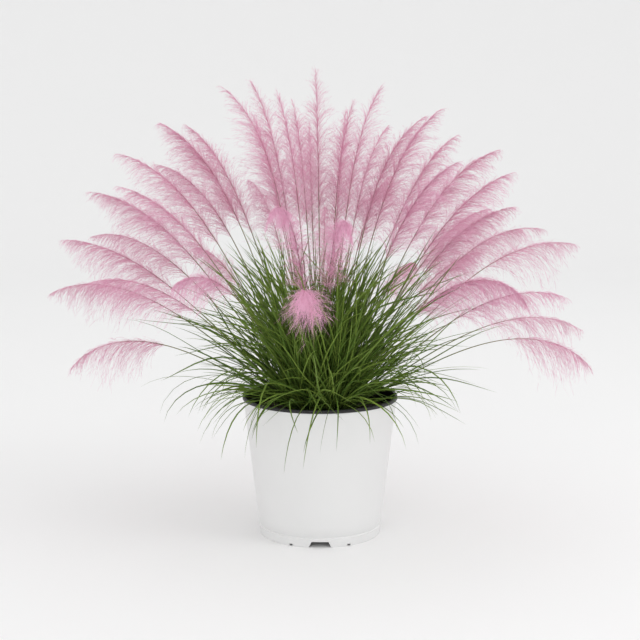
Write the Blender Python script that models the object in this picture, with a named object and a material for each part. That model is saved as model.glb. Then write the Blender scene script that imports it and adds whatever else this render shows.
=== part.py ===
"""Potted muhly grass: a nursery pot, its potting mix, tufts of narrow leaves and arching flower plumes.

Metres, Z up. The origin is the middle of the pot's base, on the ground. The photographed side faces -Y.
Headings are in degrees about Z: 0 is right, 90 is away from the viewer, 180 is left and 270 is towards
the viewer.
"""

import math

import bmesh
import bpy
import numpy as np

# Pot
RIM_RADIUS = 0.115
BASE_RADIUS = 0.0893
POT_HEIGHT = 0.208
WALL = 0.0020
LIP_HEIGHT = 0.0048
LIP_PROUD = 0.0008
LIP_THICKNESS = 0.0042
LIP_ROUNDING = 0.0012
FOOT_BAND_HEIGHT = 0.013
FOOT_BAND_PROUD = 0.0005
FOOT_THICKNESS = 0.0030
FLOOR_UNDERSIDE = 0.0095
FLOOR_TOP = 0.0115
PAD_RADIUS = 0.022
PAD_TAPER = 0.0015
POT_SIDES = 36

# Drainage: wide notches through the foot, a hole in the floor behind each, and a small notch to either side
WIDE_NOTCHES = 3
NOTCH_HEIGHT = 0.0088
NOTCH_TOP_WIDTH = 0.0245
NOTCH_BOTTOM_WIDTH = 0.033
SMALL_NOTCH_TURNS = (-28, 28)
SMALL_NOTCH_WIDTH = 0.0055
SMALL_NOTCH_HEIGHT = 0.0030
NOTCH_INNER_RADIUS = 0.080
NOTCH_OUTER_RADIUS = 0.096
DRAIN_HOLE_RADIUS = 0.008
DRAIN_HOLE_RING = 0.066
DRAIN_HOLE_SIDES = 12
CUT_MARGIN = 0.003

# Potting mix
GAP = 0.0003
SOIL_TOP = POT_HEIGHT - 0.022
SOIL_SIDES = 24
SOIL_EDGE = 0.003

# Crown of the clump, where leaves and stems leave the soil
CROWN_RADIUS = 0.046
CROWN_LEAN = 65.0
GOLDEN_ANGLE = 137.508
STEM_SPACING = 0.0040
TUFT_CLEARANCE = 0.0015
SPIRAL_TURNS = 600
SPIRAL_STEP = 0.0011
CURVE_STEPS = 100
POINT_SPACING = 0.0035
UPRIGHT_POWER = 6.0
LEAN_PER_POWER = 20.0

# Flower stems and their heads
STEM_RADIUS = 0.0010
STEM_STATIONS = (0.0, 0.22, 0.42)
SWAY = 7.0
HEAD_START = 0.54
HEAD_RADIUS = 0.020
HEAD_HANG = 0.45
HEAD_SIDES = 5
HEAD_CLEARANCE = 0.0020
# Share of the head's length, share of its full radius
HEAD_OUTLINE = (
    (0.0, 0.10),
    (0.10, 0.62),
    (0.26, 1.0),
    (0.44, 0.98),
    (0.62, 0.76),
    (0.80, 0.46),
    (0.93, 0.20),
)

# Leaves
TUFT_COUNT = 11
BLADES_PER_TUFT = 11
TUFT_CROWN = 0.0050
TUFT_BASE = 0.0010
BLADE_WIDTH = 0.0070
BLADE_THICKNESS = 0.0026
BLADE_STATIONS = ((0.30, 0.90), (0.56, 1.0), (0.80, 0.68), (1.0, 0.10))
BLADE_POWER = 1.7
BLADE_CLEARANCE = 0.0006
BLADES_PART = 0.030
RIM_CLEARANCE = 0.0030
BLADE_TRIES = 300
LEAF_SEED = 7

# How blades grow, in degrees and metres: a range is (least, most)
OUTER_SPREAD = 55.0
INNER_SPREAD = 180.0
OUTER_LEAN = 46.0
LEAST_LEAN = 4.0
MOST_LEAN = 158.0
LEAN_RANGE = (-16.0, 24.0)
BEND_RANGE = (22.0, 62.0)
BLADE_LENGTHS = (0.21, 0.30)
BLADE_SWAY = (-14.0, 14.0)

# Each flower stem: heading, lean where it leaves the crown, lean at its tip (degrees from upright), length
PLUMES = (
    # left side, from the lowest to the highest
    (186, 58, 148, 0.365),
    (172, 51, 120, 0.430),
    (200, 44, 112, 0.390),
    (224, 35, 127, 0.360),
    (184, 44, 90, 0.435),
    (156, 44, 108, 0.460),
    (178, 35, 84, 0.460),
    (199, 31, 76, 0.440),
    (188, 27, 78, 0.480),
    (154, 26, 84, 0.455),
    (180, 20, 66, 0.485),
    (144, 22, 61, 0.480),
    (192, 9, 54, 0.500),
    (125, 19, 38, 0.465),
    (158, 8, 30, 0.492),
    (200, 5, 20, 0.472),
    # middle
    (104, 14, 40, 0.480),
    (136, 1, 4, 0.502),
    (97, 20, 45, 0.460),
    (75, 18, 42, 0.475),
    # right side, from the highest to the lowest
    (20, 3, 20, 0.455),
    (343, 6, 33, 0.485),
    (50, 14, 60, 0.455),
    (9, 11, 58, 0.461),
    (352, 14, 53, 0.475),
    (32, 23, 64, 0.470),
    (328, 22, 68, 0.435),
    (8, 25, 76, 0.470),
    (345, 29, 72, 0.450),
    (35, 38, 88, 0.430),
    (2, 32, 84, 0.410),
    (20, 40, 104, 0.440),
    (355, 42, 104, 0.440),
    (45, 49, 92, 0.405),
    (330, 39, 156, 0.400),
    (332, 48, 108, 0.400),
    (12, 58, 125, 0.400),
    (352, 59, 145, 0.395),
    # front, towards the viewer
    (266, 40, 118, 0.375),
    (258, 24, 150, 0.460),
    (276, 24, 160, 0.440),
    # back
    (68, 30, 80, 0.440),
    (88, 38, 92, 0.430),
    (112, 31, 85, 0.440),
    (128, 46, 105, 0.410),
    (62, 50, 108, 0.400),
)


def clear_scene():
    for thing in list(bpy.data.objects):
        bpy.data.objects.remove(thing)


def material(name, colour, roughness):
    made = bpy.data.materials.new(name)
    made.use_nodes = True
    shader = made.node_tree.nodes["Principled BSDF"]
    shader.inputs["Base Color"].default_value = (*colour, 1.0)
    shader.inputs["Roughness"].default_value = roughness
    shader.inputs["Metallic"].default_value = 0.0
    made.diffuse_color = (*colour, 1.0)
    return made


def add_object(name, bm, *materials):
    """Turns a bmesh into a named object with its faces pointing out."""
    bmesh.ops.recalc_face_normals(bm, faces=bm.faces)
    if bm.calc_volume(signed=True) < 0.0:
        bmesh.ops.reverse_faces(bm, faces=bm.faces)
    mesh = bpy.data.meshes.new(name)
    bm.to_mesh(mesh)
    bm.free()
    for each in materials:
        mesh.materials.append(each)
    thing = bpy.data.objects.new(name, mesh)
    bpy.context.collection.objects.link(thing)
    return thing


def heading_vector(heading):
    angle = math.radians(heading)
    return np.array((math.cos(angle), math.sin(angle), 0.0))


# Turned shapes


def turned(profile, sides):
    """A closed solid turned about Z from (radius, height) points that start and end on the axis."""
    bm = bmesh.new()
    rings = []
    for radius, height in profile:
        count = sides if radius > 0.0 else 1
        angles = [2.0 * math.pi * i / sides for i in range(count)]
        rings.append([bm.verts.new((radius * math.cos(a), radius * math.sin(a), height)) for a in angles])
    for lower, upper in zip(rings, rings[1:]):
        for i in range(sides):
            j = (i + 1) % sides
            below = [lower[i % len(lower)], lower[j % len(lower)]]
            above = [upper[j % len(upper)], upper[i % len(upper)]]
            bm.faces.new(list(dict.fromkeys(below + above)))
    return bm


def wall_radius(height):
    """Outer radius of the tapered wall."""
    return BASE_RADIUS + (RIM_RADIUS - LIP_PROUD - BASE_RADIUS) * height / POT_HEIGHT


def pot_profile():
    lip_bottom = POT_HEIGHT - LIP_HEIGHT
    lip_inner = RIM_RADIUS - LIP_THICKNESS
    foot_inner = BASE_RADIUS + FOOT_BAND_PROUD - FOOT_THICKNESS
    step = FOOT_BAND_PROUD
    return (
        (0.0, 0.0),
        (PAD_RADIUS, 0.0),
        (PAD_RADIUS + PAD_TAPER, FLOOR_UNDERSIDE),
        (foot_inner, FLOOR_UNDERSIDE),
        (foot_inner, 0.0),
        (BASE_RADIUS + step, 0.0),
        (wall_radius(FOOT_BAND_HEIGHT) + step, FOOT_BAND_HEIGHT),
        (wall_radius(FOOT_BAND_HEIGHT + step), FOOT_BAND_HEIGHT + step),
        (wall_radius(lip_bottom), lip_bottom),
        (RIM_RADIUS, lip_bottom),
        (RIM_RADIUS, POT_HEIGHT - LIP_ROUNDING),
        (RIM_RADIUS - LIP_ROUNDING, POT_HEIGHT),
        (lip_inner + LIP_ROUNDING, POT_HEIGHT),
        (lip_inner, POT_HEIGHT - LIP_ROUNDING),
        (lip_inner, lip_bottom),
        (wall_radius(lip_bottom) - WALL, lip_bottom - WALL),
        (wall_radius(FLOOR_TOP) - WALL, FLOOR_TOP),
        (0.0, FLOOR_TOP),
    )


def add_prism(bm, outline, turn, near, far):
    """A prism of an outline of (across, height) points, run outwards from one radius to another."""
    out = heading_vector(turn)
    across = heading_vector(turn + 90)
    ends = []
    for radius in (near, far):
        corners = [out * radius + across * x + np.array((0.0, 0.0, z)) for x, z in outline]
        ends.append([bm.verts.new(corner) for corner in corners])
    bm.faces.new(ends[0])
    bm.faces.new(reversed(ends[1]))
    for i in range(len(outline)):
        j = (i + 1) % len(outline)
        bm.faces.new((ends[0][i], ends[1][i], ends[1][j], ends[0][j]))


def notch_outline(bottom_width, top_width, height):
    """A notch open at the bottom, carried on below the ground so that it cuts clean through."""
    flare = (bottom_width - top_width) / height * CUT_MARGIN
    low = (bottom_width + flare) / 2.0
    high = top_width / 2.0
    return ((-low, -CUT_MARGIN), (low, -CUT_MARGIN), (high, height), (-high, height))


def add_drain_hole(bm, turn):
    place = heading_vector(turn) * DRAIN_HOLE_RING
    made = bmesh.ops.create_cone(
        bm,
        cap_ends=True,
        segments=DRAIN_HOLE_SIDES,
        radius1=DRAIN_HOLE_RADIUS,
        radius2=DRAIN_HOLE_RADIUS,
        depth=FLOOR_TOP - FLOOR_UNDERSIDE + 2.0 * CUT_MARGIN,
    )
    middle = (FLOOR_TOP + FLOOR_UNDERSIDE) / 2.0
    bmesh.ops.translate(bm, verts=made["verts"], vec=(place[0], place[1], middle))


def drainage_cutter():
    bm = bmesh.new()
    wide = notch_outline(NOTCH_BOTTOM_WIDTH, NOTCH_TOP_WIDTH, NOTCH_HEIGHT)
    small = notch_outline(SMALL_NOTCH_WIDTH, SMALL_NOTCH_WIDTH, SMALL_NOTCH_HEIGHT)
    for i in range(WIDE_NOTCHES):
        turn = 270 + 360 * i / WIDE_NOTCHES
        add_prism(bm, wide, turn, NOTCH_INNER_RADIUS, NOTCH_OUTER_RADIUS)
        add_drain_hole(bm, turn)
        for offset in SMALL_NOTCH_TURNS:
            add_prism(bm, small, turn + offset, NOTCH_INNER_RADIUS, NOTCH_OUTER_RADIUS)
    cutter = add_object("drainage_cutter", bm)
    cutter.hide_render = True
    cutter.display_type = "WIRE"
    return cutter


def build_pot():
    white = material("pot_outside", (0.80, 0.80, 0.81), 0.42)
    dark = material("pot_inside", (0.020, 0.020, 0.022), 0.5)
    pot = add_object("pot", turned(pot_profile(), POT_SIDES), white, dark)
    lip_bottom = POT_HEIGHT - LIP_HEIGHT
    for face in pot.data.polygons:
        middle = face.center
        reach = math.hypot(middle.x, middle.y)
        inside = reach < wall_radius(middle.z) - WALL / 2 and middle.z > FLOOR_UNDERSIDE
        face.material_index = 1 if inside or middle.z > lip_bottom - GAP else 0
    cut = pot.modifiers.new("drainage", "BOOLEAN")
    cut.operation = "DIFFERENCE"
    cut.solver = "EXACT"
    cut.object = drainage_cutter()
    pot.data.shade_smooth()
    pot.data.set_sharp_from_angle(angle=math.radians(30))


def build_soil():
    low = FLOOR_TOP + GAP
    inner = GAP + WALL
    top_radius = wall_radius(SOIL_TOP - SOIL_EDGE) - inner
    profile = (
        (0.0, low),
        (wall_radius(low) - inner - GAP, low),
        (top_radius - GAP, SOIL_TOP - SOIL_EDGE),
        (top_radius - SOIL_EDGE, SOIL_TOP),
        (0.0, SOIL_TOP),
    )
    peat = material("peat", (0.030, 0.022, 0.016), 0.95)
    add_object("potting_mix", turned(profile, SOIL_SIDES), peat)


# Growth: curves of stems and blades


def lean_curve(heading, lean, tip_lean, length, foot, power, sway):
    """Points along a stem or blade, which leaves its foot at one lean, bends to another and sways aside."""
    share = (np.arange(CURVE_STEPS) + 0.5) / CURVE_STEPS
    leans = np.radians(lean + (tip_lean - lean) * share**power)
    headings = np.radians(heading + sway * share**2)
    out = np.sin(leans)
    steps = np.stack((out * np.cos(headings), out * np.sin(headings), np.cos(leans)), axis=1)
    path = np.cumsum(steps * (length / CURVE_STEPS), axis=0)
    return np.vstack((np.zeros(3), path)) + np.array(foot)


def frame_at(path, share, heading):
    """Middle, then the along, sideways and upper-side directions, at a share of a path's length."""
    index = round(share * CURVE_STEPS)
    along = path[min(index + 1, CURVE_STEPS)] - path[max(index - 1, 0)]
    along = along / np.linalg.norm(along)
    side = heading_vector(heading + 90)
    side = side - along * np.dot(side, along)
    side = side / np.linalg.norm(side)
    return path[index], along, side, np.cross(along, side)


def filled_in(middles, radii):
    """Closely spaced points, with their radii, on the straight runs between stations."""
    points = [middles[:1]]
    sizes = [radii[:1]]
    for start, end, first, last in zip(middles, middles[1:], radii, radii[1:]):
        count = max(1, math.ceil(np.linalg.norm(end - start) / POINT_SPACING))
        share = np.arange(1, count + 1) / count
        points.append(start + (end - start) * share[:, None])
        sizes.append(first + (last - first) * share)
    return np.vstack(points), np.concatenate(sizes)


def tuft_spots():
    """Crowns of the tufts, spread over the clump like the seeds of a sunflower."""
    spots = []
    for i in range(TUFT_COUNT):
        reach = CROWN_RADIUS * math.sqrt(i / (TUFT_COUNT - 1))
        spots.append((heading_vector(GOLDEN_ANGLE * i) * reach)[:2])
    return spots


def free_spot(wanted, taken):
    """The free spot nearest to the wanted one, searched for along a growing spiral."""
    for turn in range(SPIRAL_TURNS):
        spot = wanted + heading_vector(GOLDEN_ANGLE * turn)[:2] * SPIRAL_STEP * math.sqrt(turn)
        if all(np.hypot(*(spot - other)) >= room for other, room in taken):
            return spot
    raise ValueError("the crown is full")


def plume_paths():
    """The stems' paths, their feet set among the tufts, each close to where its lean puts it."""
    taken = [(spot, TUFT_CROWN + STEM_RADIUS + TUFT_CLEARANCE) for spot in tuft_spots()]
    paths = []
    for number, (heading, lean, tip_lean, length) in enumerate(PLUMES):
        reach = CROWN_RADIUS * min(1.0, lean / CROWN_LEAN)
        spot = free_spot((heading_vector(heading) * reach)[:2], taken)
        taken.append((spot, STEM_SPACING))
        foot = (*spot, SOIL_TOP + GAP + STEM_RADIUS * math.sin(math.radians(lean)))
        sway = SWAY * math.sin(math.radians(GOLDEN_ANGLE * number))
        power = UPRIGHT_POWER - lean / LEAN_PER_POWER
        paths.append(lean_curve(heading, lean, tip_lean, length, foot, power, sway))
    return paths


# Flower stems


def plume_stations():
    """Shares of the stem's length, and the full head's radius at each."""
    stations = [(share, 0.0) for share in STEM_STATIONS]
    for place, width in HEAD_OUTLINE:
        stations.append((HEAD_START + (1.0 - HEAD_START) * place, HEAD_RADIUS * width))
    return stations


def plume_sections(path, heading, fullness):
    """Middle, radius, sideways and upper direction of each station. A leaning head hangs below its stem."""
    sections = []
    for share, radius in plume_stations():
        middle, along, side, upper = frame_at(path, share, heading)
        leaning = math.hypot(along[0], along[1])
        hang = upper * HEAD_HANG * leaning * radius * fullness
        sections.append((middle - hang, STEM_RADIUS + radius * fullness, side, upper))
    return sections


def plume_outline(path, heading, fullness):
    """Closely spaced middles and radii of a whole flower stem."""
    sections = plume_sections(path, heading, fullness)
    middles = np.array([section[0] for section in sections] + [path[-1]])
    radii = np.array([section[1] for section in sections] + [0.0])
    return filled_in(middles, radii)


def head_fullness(paths):
    """How full each head can be without meeting its neighbours, from 0 to 1."""
    fullness = np.ones(len(paths))
    for _ in range(2):
        outlines = [plume_outline(path, PLUMES[i][0], fullness[i]) for i, path in enumerate(paths)]
        room = np.ones(len(paths))
        for i, (points, radii) in enumerate(outlines):
            for j, (others, other_radii) in enumerate(outlines[:i]):
                apart = np.linalg.norm(points[:, None] - others[None], axis=2)
                spare = apart - 2.0 * STEM_RADIUS - HEAD_CLEARANCE
                soft_i = (radii - STEM_RADIUS) / fullness[i]
                soft_j = (other_radii - STEM_RADIUS) / fullness[j]
                soft = np.maximum(soft_i[:, None], 0.0) + np.maximum(soft_j[None], 0.0)
                share = np.where(soft > STEM_RADIUS, spare / np.maximum(soft, STEM_RADIUS), 1.0).min()
                room[i] = min(room[i], share)
                room[j] = min(room[j], share)
        fullness = room
    return fullness


def build_plume(number, path, fullness, colour):
    bm = bmesh.new()
    rings = []
    angles = [2.0 * math.pi * i / HEAD_SIDES for i in range(HEAD_SIDES)]
    for middle, radius, side, upper in plume_sections(path, PLUMES[number][0], fullness):
        corners = [middle + (upper * math.cos(a) + side * math.sin(a)) * radius for a in angles]
        rings.append([bm.verts.new(corner) for corner in corners])
    bm.faces.new(rings[0])
    for lower, higher in zip(rings, rings[1:]):
        for i in range(HEAD_SIDES):
            j = (i + 1) % HEAD_SIDES
            bm.faces.new((lower[i], lower[j], higher[j], higher[i]))
    tip = bm.verts.new(path[-1])
    for i in range(HEAD_SIDES):
        bm.faces.new((rings[-1][i], rings[-1][(i + 1) % HEAD_SIDES], tip))
    add_object(f"plume_{number + 1:02d}", bm, colour).data.shade_smooth()


# Leaves


class Growth:
    """Points along everything that already stands, so that a new blade can grow clear of it."""

    def __init__(self):
        self.points = np.zeros((0, 3))
        self.radii = np.zeros(0)

    def add(self, points, radii):
        self.points = np.vstack((self.points, points))
        self.radii = np.concatenate((self.radii, radii))

    def is_clear(self, points, radii):
        low = points.min(axis=0) - HEAD_RADIUS
        high = points.max(axis=0) + HEAD_RADIUS
        near = np.all((self.points > low) & (self.points < high), axis=1)
        if not near.any():
            return True
        apart = np.linalg.norm(points[:, None] - self.points[near][None], axis=2)
        return bool((apart > self.radii[near][None] + radii[:, None] + BLADE_CLEARANCE).all())


def clears_pot(points):
    """Whether a blade stays above the soil, and passes over the lip or hangs outside it."""
    reach = np.hypot(points[:, 0], points[:, 1])
    height = points[:, 2]
    outside = reach > RIM_RADIUS + RIM_CLEARANCE
    over_lip = (height > POT_HEIGHT + RIM_CLEARANCE) | (reach < RIM_RADIUS - LIP_THICKNESS - RIM_CLEARANCE)
    over_soil = height > SOIL_TOP + BLADE_WIDTH / 2
    return bool((outside | (over_lip & over_soil)).all())


def draw_blade(rng, spot):
    """A blade that suits its tuft: outer tufts lean out, and the blades of the middle one go every way."""
    reach = float(np.hypot(*spot)) / CROWN_RADIUS
    outward = math.degrees(math.atan2(spot[1], spot[0]))
    spread = INNER_SPREAD + (OUTER_SPREAD - INNER_SPREAD) * reach
    heading = outward + rng.uniform(-spread, spread)
    lean = max(LEAST_LEAN, OUTER_LEAN * reach + rng.uniform(*LEAN_RANGE))
    bend = rng.uniform(*BEND_RANGE)
    length = rng.uniform(*BLADE_LENGTHS)
    sway = rng.uniform(*BLADE_SWAY)
    return heading, lean, min(lean + bend, MOST_LEAN), length, sway


def blade_outline(path):
    """Closely spaced middles and radii of a blade, from its tuft's crown on."""
    stations = [round(share * CURVE_STEPS) for share, _ in BLADE_STATIONS]
    middles = path[[0, *stations]]
    radii = np.array([BLADE_WIDTH / 2.0] + [BLADE_WIDTH / 2.0 * width for _, width in BLADE_STATIONS])
    return filled_in(middles, radii)


def grow_blades(rng, spot, growth):
    """The blades of one tuft, each grown clear of everything that stands."""
    crown = np.array((*spot, SOIL_TOP + GAP + TUFT_BASE))
    leaving = math.ceil(TUFT_CROWN / POINT_SPACING) + 1
    parted = math.ceil(BLADES_PART / POINT_SPACING)
    own = Growth()
    blades = []
    for _ in range(BLADE_TRIES):
        if len(blades) == BLADES_PER_TUFT:
            break
        heading, lean, tip_lean, length, sway = draw_blade(rng, spot)
        path = lean_curve(heading, lean, tip_lean, length, crown, BLADE_POWER, sway)
        points, radii = blade_outline(path)
        free = growth.is_clear(points[leaving:], radii[leaving:])
        parts_early = own.is_clear(points[parted:], radii[parted:])
        if free and parts_early and clears_pot(points[leaving:]):
            blades.append((heading, path))
            own.add(points, radii)
    growth.add(own.points, own.radii)
    return blades


def crown_solid(spot):
    """The little dome that a tuft's blades grow from, flat where it meets the soil."""
    bm = bmesh.new()
    bmesh.ops.create_icosphere(bm, subdivisions=2, radius=TUFT_CROWN)
    for vertex in bm.verts:
        vertex.co.x += spot[0]
        vertex.co.y += spot[1]
        vertex.co.z = max(vertex.co.z, -TUFT_BASE) + SOIL_TOP + GAP + TUFT_BASE
    bmesh.ops.recalc_face_normals(bm, faces=bm.faces)
    return bm


def blade_section(path, share, heading, width):
    """Left edge, right edge and keel of a blade's section, in order to the left about the way it grows."""
    middle, _, side, upper = frame_at(path, share, heading)
    half = side * BLADE_WIDTH * width / 2.0
    return [middle + half, middle - half, middle - upper * BLADE_THICKNESS * width]


def match_corners(face, section):
    """The section's corners in the order that twists the face's own corners least."""
    corners = np.array([vertex.co for vertex in face.verts])
    corners = corners - corners.mean(axis=0)
    orders = [section[i:] + section[:i] for i in range(3)]
    twists = [np.linalg.norm(corners - order + np.mean(order, axis=0), axis=1).sum() for order in orders]
    return orders[int(np.argmin(twists))]


def draw_out_blade(bm, face, heading, path):
    """Extrudes one face of the crown along a blade's path."""
    for share, width in BLADE_STATIONS:
        face = bmesh.ops.extrude_discrete_faces(bm, faces=[face])["faces"][0]
        targets = match_corners(face, blade_section(path, share, heading, width))
        for vertex, target in zip(face.verts, targets):
            vertex.co = target


def build_tuft(number, spot, blades, colour):
    bm = crown_solid(spot)
    free = list(bm.faces)
    for heading, path in blades:
        start = frame_at(path, 0.0, heading)[1]
        face = max(free, key=lambda each: np.dot(np.array(each.normal), start))
        free.remove(face)
        draw_out_blade(bm, face, heading, path)
    add_object(f"leaf_tuft_{number + 1:02d}", bm, colour)


def build_leaves(paths, fullness):
    rng = np.random.default_rng(LEAF_SEED)
    green = material("leaf", (0.10, 0.19, 0.045), 0.55)
    growth = Growth()
    for number, path in enumerate(paths):
        growth.add(*plume_outline(path, PLUMES[number][0], fullness[number]))
    spots = tuft_spots()
    for spot in spots:
        growth.add(np.array(((*spot, SOIL_TOP + GAP),)), np.array((TUFT_CROWN - BLADE_CLEARANCE,)))
    for number, spot in enumerate(spots):
        build_tuft(number, spot, grow_blades(rng, spot, growth), green)


def main():
    clear_scene()
    build_pot()
    build_soil()
    paths = plume_paths()
    fullness = head_fullness(paths)
    pink = material("plume", (0.60, 0.28, 0.45), 0.8)
    for number, path in enumerate(paths):
        build_plume(number, path, fullness[number], pink)
    build_leaves(paths, fullness)


main()
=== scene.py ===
"""Looks of the potted muhly grass: the pot, its potting mix, the leaf blades and the feathery flower heads.

Metres, Z up, in the frame of the solids: the origin is the middle of the pot's base, and the photographed
side faces -Y. Headings are in degrees about Z: 0 is right, 90 away from the viewer, 180 left, 270 towards
the viewer. Leans are in degrees from upright.
"""

import math

import bmesh
import bpy
import numpy as np
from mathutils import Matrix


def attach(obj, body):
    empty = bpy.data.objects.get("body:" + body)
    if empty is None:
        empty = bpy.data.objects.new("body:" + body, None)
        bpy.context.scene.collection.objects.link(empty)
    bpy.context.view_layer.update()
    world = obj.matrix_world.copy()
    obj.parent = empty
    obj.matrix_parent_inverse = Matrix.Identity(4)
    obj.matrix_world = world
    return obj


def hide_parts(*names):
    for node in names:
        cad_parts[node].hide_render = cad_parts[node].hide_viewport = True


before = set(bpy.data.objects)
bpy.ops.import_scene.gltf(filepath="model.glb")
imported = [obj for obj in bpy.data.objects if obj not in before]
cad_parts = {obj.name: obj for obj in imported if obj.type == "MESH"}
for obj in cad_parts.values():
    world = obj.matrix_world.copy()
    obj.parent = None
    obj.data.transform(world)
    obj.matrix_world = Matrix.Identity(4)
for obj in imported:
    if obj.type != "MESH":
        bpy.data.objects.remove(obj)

# Camera
CAMERA_PLACE = (0.0, -2.11, 0.64)
CAMERA_DIP = 8.63
CAMERA_LENS = 81.4
SENSOR = 36.0

# Studio
FLOOR_RADIUS = 3.4
SWEEP_RADIUS = 1.4
WALL_TOP = 2.2
STAGE_SIDES = 96
FLOOR_RINGS = 8
SWEEP_STEPS = 16
STAGE_COLOUR = (0.895, 0.895, 0.895)
WORLD_COLOUR = (1.0, 1.0, 1.0)
WORLD_STRENGTH = 0.96
# Each lamp: name, place, size, power in watts
LAMPS = (
    ("key", (2.2, -1.1, 2.3), 1.3, 15.0),
    ("front", (-0.6, -2.6, 1.2), 1.8, 7.0),
)
LAMP_AIM = (0.0, 0.0, 0.32)

# Pot, as in the solids, with finer rounding
RIM_RADIUS = 0.115
BASE_RADIUS = 0.0893
POT_HEIGHT = 0.208
WALL = 0.0020
LIP_HEIGHT = 0.0048
LIP_PROUD = 0.0008
LIP_THICKNESS = 0.0042
LIP_ROUNDING = 0.0013
FOOT_BAND_HEIGHT = 0.013
FOOT_BAND_PROUD = 0.0005
FOOT_THICKNESS = 0.0030
FOOT_GROOVE = 0.0009
FLOOR_UNDERSIDE = 0.0095
FLOOR_TOP = 0.0115
PAD_RADIUS = 0.022
PAD_TAPER = 0.0015
POT_SIDES = 160
ROUNDING_STEPS = 4
WALL_STEPS = 14
SHARP_ANGLE = 32.0

# Drainage
WIDE_NOTCHES = 3
NOTCH_HEIGHT = 0.0088
NOTCH_TOP_WIDTH = 0.0245
NOTCH_BOTTOM_WIDTH = 0.033
SMALL_NOTCH_TURNS = (-28, 28)
SMALL_NOTCH_WIDTH = 0.0055
SMALL_NOTCH_HEIGHT = 0.0030
NOTCH_INNER_RADIUS = 0.080
NOTCH_OUTER_RADIUS = 0.096
DRAIN_HOLE_RADIUS = 0.008
DRAIN_HOLE_RING = 0.066
DRAIN_HOLE_SIDES = 40
CUT_MARGIN = 0.003

# Potting mix
GAP = 0.0003
SOIL_UNDER_LIP = 0.022
SOIL_TOP = POT_HEIGHT - SOIL_UNDER_LIP
SOIL_RINGS = 34
SOIL_SIDES = 120
SOIL_ROUGHNESS = 0.0022
SOIL_SINK = 0.0012
# The soil calms down and drops a little over this width at the pot's wall
SOIL_EDGE = 0.006
SOIL_EDGE_DROP = 0.002
# Waves of the surface: size, and share of the height
SOIL_WAVES = ((0.045, 0.5), (0.020, 0.35), (0.009, 0.25), (0.004, 0.18))
WAVES_PER_SIZE = 5
CHIP_COUNT = 620
CHIP_SIZE = 0.0052
CHIP_SIDES = 6
CHIP_FLATNESS = 0.38
CHIP_SINK = 0.0010
CHIP_RISE = 0.0018
# Rings of a chip: place along it and half width, as shares of its size
CHIP_RINGS = ((-0.5, 0.25), (-0.25, 0.5), (0.2, 0.45))
SOIL_SEED = 3

# Crown of the clump, as in the solids
CROWN_RADIUS = 0.046
CROWN_LEAN = 65.0
GOLDEN_ANGLE = 137.508
STEM_SPACING = 0.0040
TUFT_COUNT = 11
TUFT_CROWN = 0.0050
TUFT_BASE = 0.0010
TUFT_CLEARANCE = 0.0015
SPIRAL_TURNS = 600
SPIRAL_STEP = 0.0011
CURVE_STEPS = 100
UPRIGHT_POWER = 6.0
LEAN_PER_POWER = 20.0
STEM_RADIUS = 0.0010
SWAY = 7.0

# Stems
STEM_STATIONS = 44
STEM_SIDES = 6
STEM_TIP_RADIUS = 0.00016
STEM_TAPER = 1.8

# Branches of the flower heads
BRANCHES = 490
BRANCH_SEGMENTS = 5
BRANCH_LENGTH = 0.056
BRANCH_WIDTH = 0.00038
# Where the branches begin, as a share of the stem, and how they crowd from there to the tip
HAIR_START = 0.57
BRANCH_PLACES = (1.3, 1.42)
TURN_SCATTER = 45.0
LOW_SIDE_PULL = 1.1
# Lengths: at the tip, the part of the head that tapers, loss on the upper side, scatter (least, usual, most)
TIP_LENGTH = 0.16
TAPER_PART = 0.58
UPPER_SIDE_LOSS = 0.42
BRANCH_SCATTER = (0.25, 1.0, 1.15)
# Angles off the stem in degrees, at the root and at the end of a branch, and what they lose up the head
ROOT_ANGLE = 29.0
ROOT_ANGLE_LOSS = 15.0
END_ANGLE = 86.0
END_ANGLE_LOSS = 54.0
LEANING_LOSS = 26.0
OPENING_SCATTER = 10.0
BRANCH_CURL = 5.5
# Droop of the branches on an upright stem, and what leaning adds
UPRIGHT_DROOP = 0.20
LEANING_DROOP = 2.2

# Twigs of the branches
TWIGS = 4
TWIG_SEGMENTS = 3
TWIG_LENGTH = 0.021
TWIG_WIDTH = 0.00028
TWIG_PLACES = (0.15, 0.97)
TWIG_SCATTER = (0.45, 1.1)
TWIG_SHORTENING = 0.35
TWIG_ANGLES = (12.0, 46.0)
TWIG_BEND = 0.35
TWIG_DROOP = 0.3
HAIR_TAPER = 0.6
HAIR_WIDTHS = (0.75, 1.25)
# Scatter of the hairs' paleness, and painted light: how much paler a head is painted when it faces the viewer
TINT_SCATTER = 0.5
FACING_PAINTED_LIGHT = 0.5
HEAD_SEED = 40

# Heads fuller or thinner than the rest, by their place in the table of stems
FULLNESS = {
    1: 0.65, 4: 0.95, 5: 1.1, 6: 1.1, 7: 1.35, 8: 1.1, 9: 1.1, 10: 1.1, 11: 1.8, 12: 1.3, 14: 1.1,
    17: 1.15, 19: 1.2, 20: 1.2, 24: 1.3, 25: 1.4, 26: 1.3, 27: 1.6, 28: 1.5, 29: 1.2, 30: 1.5, 31: 1.4,
    33: 0.6, 34: 1.2, 35: 1.9, 36: 0.7, 37: 0.55, 38: 0.6, 39: 1.35, 40: 2.5, 41: 2.2,
}
# Heads whose hairs begin higher or lower on the stem
STARTS = {4: 0.66, 8: 0.60, 10: 0.61, 11: 0.60, 33: 0.68, 35: 0.49, 37: 0.62, 38: 0.65, 40: 0.44, 41: 0.46}
# Heads with shorter hairs
REACHES = {4: 0.92, 39: 0.88, 40: 0.60, 41: 0.72}

# Leaves
BLADES_PER_TUFT = 110
HANGING_PER_TUFT = 6
BLADE_CANDIDATES = 400
BLADE_STATIONS = 12
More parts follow.
